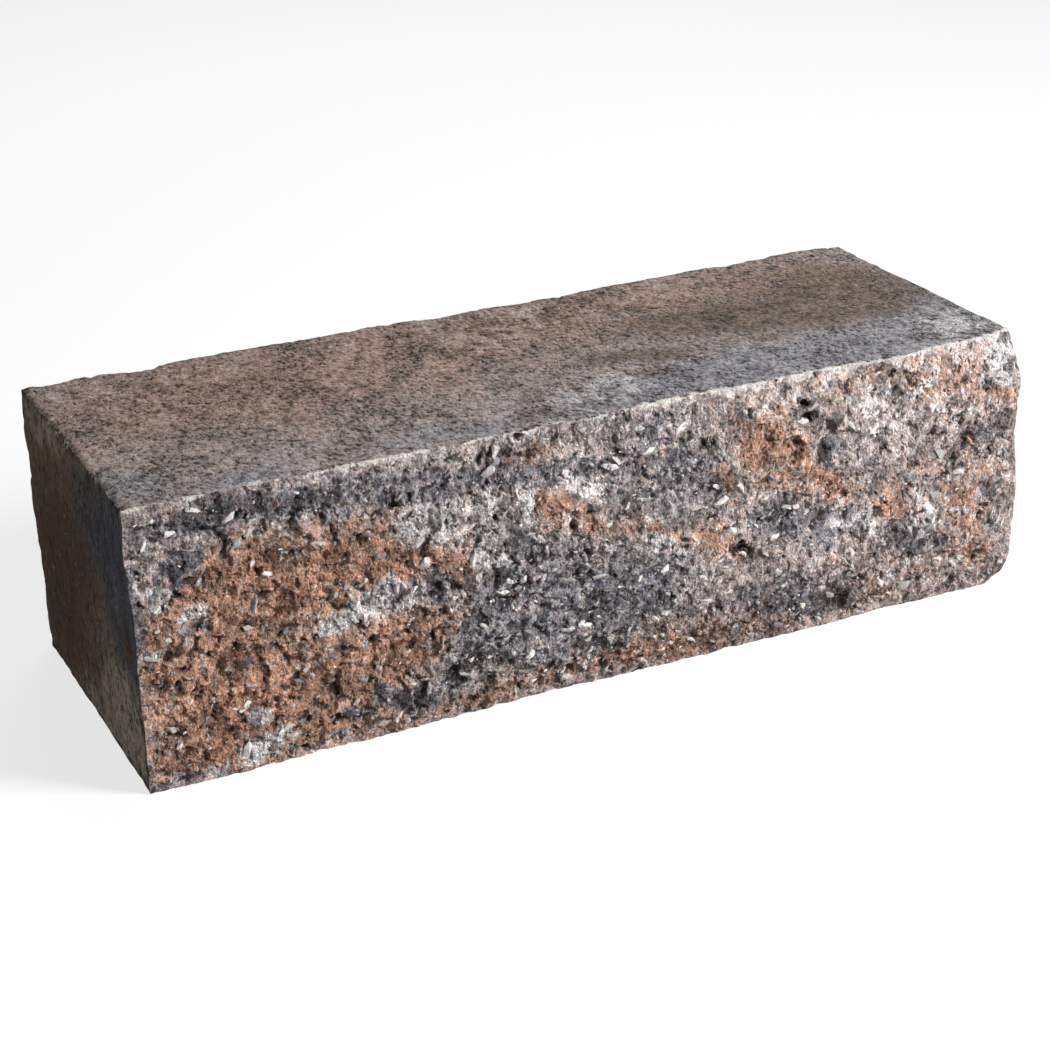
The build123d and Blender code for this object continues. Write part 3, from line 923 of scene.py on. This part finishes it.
def gravel_tree(material):
    """Flakes of crushed stone, sunk in the surface that comes in. Sizes are inputs of the tree."""
    tree = bpy.data.node_groups.new("sunken_gravel", "GeometryNodeTree")
    node = partial(add_node, tree)
    sockets = [("Surface", "Geometry"), ("Spacing", "Float"), ("Density", "Float"), ("Smallest", "Float"),
               ("Largest", "Float"), ("Sink", "Float"), ("Seed", "Int")]
    for name, kind in sockets:
        tree.interface.new_socket(name, in_out="INPUT", socket_type="NodeSocket" + kind)
    tree.interface.new_socket("Gravel", in_out="OUTPUT", socket_type="NodeSocketGeometry")
    given = node("NodeGroupInput").node.outputs

    # even random numbers for each flake: size, width, thickness, sink, three turns and its tone
    limits = ((0, 1), (0.24, 0.5), (0.2, 0.4), (-0.8, 0.5), (-0.35, 0.35), (-0.35, 0.35), (-0.9, 0.9), (0, 1))
    chance, width, thickness, depth, turn_x, turn_y, turn_z, tone = (
        node("FunctionNodeRandomValue", {2: least, 3: most, "Seed": number}, out=1, data_type="FLOAT")
        for number, (least, most) in enumerate(limits)
    )
    thinned = node("GeometryNodeInputNamedAttribute", {"Name": "gravel_share"}, data_type="FLOAT")
    scatter = {"Mesh": given["Surface"], "Distance Min": given["Spacing"], "Density Max": given["Density"],
               "Density Factor": thinned, "Seed": given["Seed"]}
    points = node("GeometryNodeDistributePointsOnFaces", scatter, distribute_method="POISSON")
    # a flake follows the split face as a whole, more than the facet that it lies on
    normal = {0: points.node.outputs["Normal"], 1: (0.35, 1.0, 0.35)}
    normal = node("VectorMath", {0: node("VectorMath", normal, operation="MULTIPLY")}, operation="NORMALIZE")
    # most flakes are small
    size = node("Math", {0: chance, 1: 2.2}, operation="POWER")
    size = node("MapRange", {"Value": size, "To Min": given["Smallest"], "To Max": given["Largest"]})
    half = node("Math", {0: size, 1: 0.5}, operation="MULTIPLY")
    half_width = node("Math", {0: half, 1: width}, operation="MULTIPLY")
    half_thickness = node("Math", {0: half, 1: thickness}, operation="MULTIPLY")
    scale = node("CombineXYZ", {0: half, 1: half_width, 2: half_thickness})
    drop = node("Math", {0: half_thickness, 1: depth}, operation="MULTIPLY")
    drop = node("Math", {0: drop, 1: given["Sink"]}, operation="MULTIPLY")
    inwards = node("VectorMath", {0: normal, "Scale": drop}, operation="SCALE")
    sunk = node("GeometryNodeSetPosition", {"Geometry": points, "Offset": inwards})
    # flakes lie in the face, with their length roughly along the ledges that meet over the middle
    flat = node("FunctionNodeAlignRotationToVector", {"Vector": normal}, axis="Z")
    place = node("SeparateXYZ", {0: node("GeometryNodeInputPosition")})
    slope = {"Value": place, "From Min": -0.08, "From Max": 0.05, "To Min": 0.45, "To Max": -0.3}
    lean = node("Math", {0: node("MapRange", slope), 1: turn_z}, operation="ADD")
    turn = {"Rotation": flat, "Rotate By": node("CombineXYZ", {0: turn_x, 1: turn_y, 2: lean})}
    turn = node("FunctionNodeRotateRotation", turn, rotation_space="LOCAL")
    blank = node("GeometryNodeMeshIcoSphere", {"Radius": 1.0, "Subdivisions": 1})
    flakes = {"Points": sunk, "Instance": blank, "Rotation": turn, "Scale": scale}
    flakes = node("GeometryNodeInstanceOnPoints", flakes)
    for name, value in (("tone", tone), ("flake_half", half_thickness), ("stone", 1.0)):
        stored = {"Geometry": flakes, "Name": name, "Value": value}
        flakes = node("GeometryNodeStoreNamedAttribute", stored, data_type="FLOAT", domain="INSTANCE")
    solid = node("GeometryNodeRealizeInstances", {0: flakes})
    # crushing leaves no two corners alike
    corners = {0: (-0.6, -0.6, -0.6), 1: (0.6, 0.6, 0.6), "Seed": 9}
    jolt = node("FunctionNodeRandomValue", corners, data_type="FLOAT_VECTOR")
    reach = node("GeometryNodeInputNamedAttribute", {"Name": "flake_half"}, data_type="FLOAT")
    offset = node("VectorMath", {0: jolt, "Scale": reach}, operation="SCALE")
    crushed = node("GeometryNodeSetPosition", {"Geometry": solid, "Offset": offset})
    finished = node("GeometryNodeSetMaterial", {"Geometry": crushed, "Material": material})
    node("NodeGroupOutput", {0: finished})
    return tree


def surface_part(mesh, side, margin):
    """A mesh of one split face alone, without a margin along its edges, to scatter gravel on."""

    def read(collection, name, width, kind):
        values = np.empty(width * len(collection), kind)
        collection.foreach_get(name, values)
        return values.reshape(-1, width)

    sides = read(mesh.attributes["side"].data, "value", 1, np.int32)[:, 0]
    points = read(mesh.vertices, "co", 3, np.float32) / MM
    triangles = read(mesh.loops, "vertex_index", 1, np.int32).reshape(-1, 3)[sides == side]
    x, _, z = points[triangles].mean(1).T
    clear = (np.abs(x) < HALF_LENGTH - margin) & (z > margin) & (z < HEIGHT - margin)
    used, renumbered = np.unique(triangles[clear], return_inverse=True)
    part = mesh_from_arrays("gravel_bed", points[used], renumbered.reshape(-1, 3))
    x, _, z = points[used].T
    # less of it shows in the orange field, at the calm right end and under the top arris
    few = (1 - 0.5 * smoothstep(60, 110, x)) * (1 - 0.5 * smoothstep(88, 104, z))
    for name in PIGMENTS_AND_SHADE:
        values = read(mesh.attributes[name].data, "value", 1, np.float32)[used, 0]
        add_attribute(part, name, values)
        if name == "warm":
            add_attribute(part, "gravel_share", few * (1 - 0.6 * np.clip(values, 0, 1)))
    return part


def scatter_gravel(name, bed, tree, values):
    """Runs the gravel tree on the bed and returns the chips as a plain mesh object."""
    carrier = add_object(name + "_bed", bed)
    modifier = carrier.modifiers.new("gravel", "NODES")
    modifier.node_group = tree
    sockets = {s.name: s.identifier for s in tree.interface.items_tree if s.in_out == "INPUT"}
    for key, value in values.items():
        modifier[sockets[key]] = value
    evaluated = carrier.evaluated_get(bpy.context.evaluated_depsgraph_get())
    mesh = bpy.data.meshes.new_from_object(evaluated)
    mesh.name = name
    bpy.data.objects.remove(carrier)
    return add_object(name, mesh)


# Settings


def colour_property(name, hex_colour, description):
    looks = {"subtype": "COLOR", "size": 3, "min": 0, "max": 1, "default": linear(hex_colour)}
    return FloatVectorProperty(name=name, description=description, **looks)


def length_property(name, millimetres, description):
    return FloatProperty(name=name, description=description, unit="LENGTH", min=0, default=millimetres * MM)


def angle_property(name, degrees, description):
    return FloatProperty(name=name, description=description, subtype="ANGLE", default=math.radians(degrees))


class WallBlockColours(bpy.types.PropertyGroup):
    mortar: colour_property("Mortar", "C8BFC0", "Plain pressed mortar on the split faces")
    mortar_dark: colour_property("Dark mortar", "978D8C", "Mortar with less lime in it")
    salmon: colour_property("Salmon", "CEB6AE", "Mortar with a little iron oxide")
    peach: colour_property("Peach", "D3AB96", "Iron oxide thinned with lime")
    rust: colour_property("Rust", "C99A82", "Mortar coloured with iron oxide")
    rust_dark: colour_property("Deep rust", "8C604A", "Denser iron oxide")
    charcoal: colour_property("Charcoal", "8D8990", "Mortar coloured with black oxide")
    charcoal_dark: colour_property("Deep charcoal", "5F5E65", "Denser black oxide")
    slate: colour_property("Slate", "ABA8AF", "Black oxide thinned with lime")
    lime: colour_property("Lime", "F0EAEA", "Crushed fines and lime")
    lime_dark: colour_property("Grey lime", "D0CAC8", "Thinner lime")
    crushed: colour_property("Crushed arris", "F6EFEA", "Crushed line along the top arrises")
    # painted shade for the inside of the hollows and gaps of the split faces
    pore_shade: colour_property("Pore", "2D2019", "Inside of pores and gaps")
    # painted shade for the inside of the pits and cracks of the moulded faces, and for their dipped arrises
    pit_shade: colour_property("Pit", "33281F", "Inside of the pits in the moulded faces")
    # the ends' pastes are darker than the top's skin: partly their own colour, partly painted shade for the
    # left end's shade, which the right end shares
    end_grey: colour_property("End grey", "746A62", "Paste on the ends")
    end_brown: colour_property("End brown", "6E5948", "Paste at the back of the ends")
    end_black: colour_property("End black", "4A4B52", "Paste at the front of the ends")
    end_pale: colour_property("End pale", "A3958A", "Where the ends are rubbed")
    end_dark: colour_property("End dark", "443529", "The darkest paste on the ends")
    deep: colour_property("Deep shade", "8A837F", "Takes a patch of the split faces darker")
    skin_grey: colour_property("Grey skin", "A89B96", "Moulded skin")
    skin_brown: colour_property("Brown skin", "A68F84", "Moulded skin towards the back")
    skin_blue: colour_property("Blue skin", "9A989D", "Moulded skin along the front")
    bloom: colour_property("Bloom", "C2BFBF", "Lime bloom on the moulded skin")
    damp_and_shade: colour_property("Damp skin", "74655A", "Darker, closer skin")
    chip_dark: colour_property("Dark chip", "504F54", "Basalt chips")
    chip_blue: colour_property("Blue chip", "70727B", "Blue-grey chips")
    chip_grey: colour_property("Grey chip", "9A9793", "Grey chips")
    chip_pale: colour_property("Pale chip", "C2BEB8", "Limestone chips")
    chip_white: colour_property("White chip", "D4D1CD", "Quartz chips")
    chip_red: colour_property("Red chip", "A37C69", "Red sandstone chips")


class WallBlockConcrete(bpy.types.PropertyGroup):
    front_pitch: length_property("Front pitch", 1.05, "Spacing of the front split face's points")
    back_pitch: length_property("Back pitch", 1.3, "Spacing of the back split face's points")
    top_pitch: length_property("Top pitch", 2.0, "Spacing of the top's points")
    end_pitch: length_property("End pitch", 3.0, "Spacing of the ends' points")
    bottom_pitch: length_property("Bottom pitch", 5.0, "Spacing of the bottom's points")


class WallBlockGravel(bpy.types.PropertyGroup):
    chip_smallest: length_property("Smallest chip", 1.8, "Length of the smallest chips")
    chip_largest: length_property("Largest chip", 8.5, "Length of the largest chips")
    chip_spacing: length_property("Chip spacing", 4.2, "Least distance between two chips")
    grit_smallest: length_property("Smallest grit", 0.8, "Length of the smallest grit")
    grit_largest: length_property("Largest grit", 2.4, "Length of the largest grit")
    grit_spacing: length_property("Grit spacing", 2.6, "Least distance between two pieces of grit")
    edge_margin: length_property("Edge margin", 4.0, "Left clear of gravel along the edges")
    seed: IntProperty(name="Seed", description="Changes the scatter", default=5)


class WallBlockStage(bpy.types.PropertyGroup):
    camera_distance: length_property("Camera distance", 1007, "From the camera to the point it looks at")
    camera_azimuth: angle_property("Azimuth", -25.11, "Turn from the front, to the left where it is negative")
    camera_elevation: angle_property("Elevation", 24.21, "Angle above the floor")
    camera_roll: angle_property("Roll", 1.52, "Tilt of the camera about its view")
    focal_length: FloatProperty(name="Focal length", description="In mm, on a 36 mm frame", default=78.82)
    floor_colour: colour_property("Floor", "FFFFFF", "Floor and backdrop, as they look")
    floor_shade: colour_property("Floor's reflection", "A0A0A0", "What the floor throws back on the block")


class WallBlockSettings(bpy.types.PropertyGroup):
    colours: PointerProperty(type=WallBlockColours)
    concrete: PointerProperty(type=WallBlockConcrete)
    gravel: PointerProperty(type=WallBlockGravel)
    stage: PointerProperty(type=WallBlockStage)


# Operators


class MESH_OT_wall_block_concrete(bpy.types.Operator):
    """Make the concrete body: broken front and back, moulded top, bottom and ends"""

    bl_idname = "mesh.wall_block_concrete"
    bl_label = "Concrete body"

    def execute(self, context):
        shell, hollow, crushed = concrete_shell(context.scene.wall_block.concrete)
        points = np.concatenate(shell.points)
        sides = np.concatenate(shell.side_of_triangle)
        parts = zip(shell.triangles, shell.side_of_triangle)
        triangles = np.concatenate([outward(points, part, side[0]) for part, side in parts])
        mesh = mesh_from_arrays("concrete_body", points, triangles)
        for name, values in zip(PIGMENTS_AND_SHADE, pigment_and_shade_shares(points, np.concatenate(shell.side_of_point))):
            add_attribute(mesh, name, values)
        add_attribute(mesh, "hollow", hollow)
        add_attribute(mesh, "crushed", crushed)
        mesh.attributes.new("side", "INT", "FACE").data.foreach_set("value", sides.astype(np.int32))

        colours = context.scene.wall_block.colours
        top_skin = Skin(colours.skin_grey, colours.skin_brown, colours.skin_blue, colours.bloom, colours.damp_and_shade)
        # the ends' skin, painted darker partly for the shade on the left end
        end_skin_and_shade = Skin(
            colours.end_grey, colours.end_brown, colours.end_black, colours.end_pale, colours.end_dark
        )
        for material in (
            split_face_concrete(colours),
            moulded_concrete(
                "moulded_concrete", colours, top_skin, drawn=(1.15, 0.75, 1), pit_size=2.3, pit_share=0.43
            ),
            moulded_concrete(
                "drawn_concrete", colours, end_skin_and_shade, drawn=(1, 1, 0.6), pit_size=3.2, pit_share=0.42
            ),
        ):
            mesh.materials.append(material)
        material_of_side = np.array([0, 0, 1, 1, 2, 2], np.int32)
        mesh.polygons.foreach_set("material_index", material_of_side[sides])
        mesh.polygons.foreach_set("use_smooth", sides >= TOP)
        mesh.update()

        body = add_object("concrete_body", mesh)
        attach(body, BODY)
        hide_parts(NODE)
        return {"FINISHED"}


class MESH_OT_wall_block_gravel(bpy.types.Operator):
    """Scatter chips and grit of crushed stone in both split faces"""

    bl_idname = "mesh.wall_block_gravel"
    bl_label = "Gravel"

    def execute(self, context):
        gravel = context.scene.wall_block.gravel
        body = bpy.data.objects["concrete_body"].data
        tree = gravel_tree(body.materials[0])
        # flakes per square metre at most, and how much of its half thickness a flake sinks
        chips = {"Density": 8e4, "Sink": 0.7}
        grit = {"Density": 2.2e5, "Sink": 0.8}
        for values, kind in ((chips, "chip"), (grit, "grit")):
            for key in ("Spacing", "Smallest", "Largest"):
                values[key] = getattr(gravel, f"{kind}_{key.lower()}")
        for side, face in ((FRONT, "front"), (BACK, "back")):
            bed = surface_part(body, side, gravel.edge_margin / MM)
            for k, (kind, values) in enumerate((("chips", chips), ("grit", grit))):
                values["Seed"] = gravel.seed + 10 * side + k
                piece = scatter_gravel(f"{face}_{kind}", bed, tree, values)
                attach(piece, BODY)
                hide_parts(NODE)
            bpy.data.meshes.remove(bed)
        return {"FINISHED"}


class SCENE_OT_wall_block_stage(bpy.types.Operator):
    """Set the camera, the lamps, the world and the pale floor"""

    bl_idname = "scene.wall_block_stage"
    bl_label = "Stage"

    def execute(self, context):
        stage = context.scene.wall_block.stage
        set_camera(context.scene, stage)
        set_lamps(context.scene)
        set_floor(stage)
        context.scene.view_settings.view_transform = "Standard"
        return {"FINISHED"}


# The point that the camera looks at, and the width of its frame that the focal length goes with
CAMERA_TARGET = Vector((-3.2 * MM, 0, 43.5 * MM))
SENSOR_WIDTH = 36.0


def set_camera(scene, stage):
    """A camera turned, raised and rolled about its target, as in the photograph."""
    turn, rise = stage.camera_azimuth, stage.camera_elevation
    back = Vector((math.sin(turn) * math.cos(rise), -math.cos(turn) * math.cos(rise), math.sin(rise)))
    right = back.cross(Vector((0, 0, 1))).normalized() * -1
    up = back.cross(right)
    rolled_right = right * math.cos(stage.camera_roll) - up * math.sin(stage.camera_roll)
    rolled_up = back.cross(rolled_right)
    data = bpy.data.cameras.new("camera")
    data.sensor_width = SENSOR_WIDTH
    data.lens = stage.focal_length
    data.clip_start, data.clip_end = 0.05, 20.0
    place = Matrix((rolled_right, rolled_up, back)).transposed().to_4x4()
    place.translation = CAMERA_TARGET + back * stage.camera_distance
    scene.camera = add_object("camera", data)
    scene.camera.matrix_world = place


class Lamp(NamedTuple):
    """A square soft box that faces the block."""

    name: str
    place: tuple  # metres
    size: float
    watts: float


LAMPS = (
    Lamp("key_softbox", (0.95, -0.95, 0.80), 0.45, 44.0),
    Lamp("back_softbox", (0.4, 1.2, 1.2), 0.9, 9.0),
    Lamp("fill_softbox", (0.0, -2.2, 0.5), 1.2, 6.0),
    Lamp("end_softbox", (-1.6, -0.2, 0.6), 0.7, 6.5),
)
WORLD_STRENGTH = 0.07
FLOOR_REACH = 6.0  # metres from the middle to the floor's sides
FLOOR_GLOW = 0.72  # the share of the floor's white that is its own light, where it is seen directly


def set_lamps(scene):
    """Soft boxes and a dim even world. The key stands to the front right, so the left end is in shade."""
    for lamp in LAMPS:
        data = bpy.data.lights.new(lamp.name, "AREA")
        data.size = lamp.size
        data.energy = lamp.watts
        light = add_object(lamp.name, data)
        aim = Vector((0, 0, HEIGHT * MM / 2)) - Vector(lamp.place)
        light.location = lamp.place
        light.rotation_euler = aim.to_track_quat("-Z", "Y").to_euler()
    scene.world = emptied(bpy.data.worlds.new("studio"))
    node = partial(add_node, scene.world.node_tree)
    seen = seen_directly(scene.world.node_tree)
    strength = node("MapRange", {"Value": seen, "To Min": WORLD_STRENGTH, "To Max": 1.0})
    node("OutputWorld", {"Surface": node("Background", {"Color": (1, 1, 1), "Strength": strength})})


def seen_directly(tree):
    """1 for what the camera, a reflection or a refraction shows, 0 for light that is thrown on."""
    rays = add_node(tree, "LightPath").node.outputs
    either = {0: rays["Is Camera Ray"], 1: rays["Is Glossy Ray"]}
    any_of_them = {0: add_node(tree, "Math", either, operation="MAXIMUM"), 1: rays["Is Transmission Ray"]}
    return add_node(tree, "Math", any_of_them, operation="MAXIMUM")


def set_floor(stage):
    """A wide pale floor that looks white, keeps the block's shadow and throws little light back."""
    mesh = bpy.data.meshes.new("floor")
    corners = [(FLOOR_REACH * x, FLOOR_REACH * y, 0) for x, y in ((-1, -1), (1, -1), (1, 1), (-1, 1))]
    mesh.from_pydata(corners, [], [(0, 1, 2, 3)])
    material = emptied(bpy.data.materials.new("matte_backdrop"))
    node = partial(add_node, material.node_tree)
    seen = seen_directly(material.node_tree)
    colour = node("Mix", {0: seen, MIX_A: stage.floor_shade, MIX_B: stage.floor_colour}, **OVER)
    matte = node("BsdfDiffuse", {"Color": colour})
    glow = node("Emission", {"Color": (1, 1, 1), "Strength": 1.0})
    share = node("Math", {0: seen, 1: FLOOR_GLOW}, operation="MULTIPLY")
    node("OutputMaterial", {"Surface": node("MixShader", {0: share, 1: matte, 2: glow})})
    mesh.materials.append(material)
    floor = add_object("floor", mesh)


class VIEW3D_PT_wall_block(bpy.types.Panel):
    """Lists the block's operators and settings"""

    bl_idname = "VIEW3D_PT_wall_block"
    bl_label = "Wall block"
    bl_space_type = "VIEW_3D"
    bl_region_type = "UI"
    bl_category = "Wall block"

    def draw(self, context):
        settings = context.scene.wall_block
        for operator, groups in OPERATORS:
            self.layout.operator(operator.bl_idname)
            for values in (getattr(settings, group) for group in groups):
                for name in values.bl_rna.properties.keys():
                    if name not in {"rna_type", "name"}:
                        self.layout.prop(values, name)


# Each operator with the groups of settings that it reads, in the order that they run
OPERATORS = (
    (MESH_OT_wall_block_concrete, ("concrete", "colours")),
    (MESH_OT_wall_block_gravel, ("gravel",)),
    (SCENE_OT_wall_block_stage, ("stage",)),
)
GROUPS = (WallBlockColours, WallBlockConcrete, WallBlockGravel, WallBlockStage, WallBlockSettings)
CLASSES = GROUPS + tuple(operator for operator, _ in OPERATORS) + (VIEW3D_PT_wall_block,)


def register():
    for cls in CLASSES:
        bpy.utils.register_class(cls)
    bpy.types.Scene.wall_block = PointerProperty(type=WallBlockSettings)


def unregister():
    del bpy.types.Scene.wall_block
    for cls in reversed(CLASSES):
        bpy.utils.unregister_class(cls)


def main():
    register()
    bpy.ops.mesh.wall_block_concrete()
    bpy.ops.mesh.wall_block_gravel()
    bpy.ops.scene.wall_block_stage()


if __name__ == "__main__":
    main()
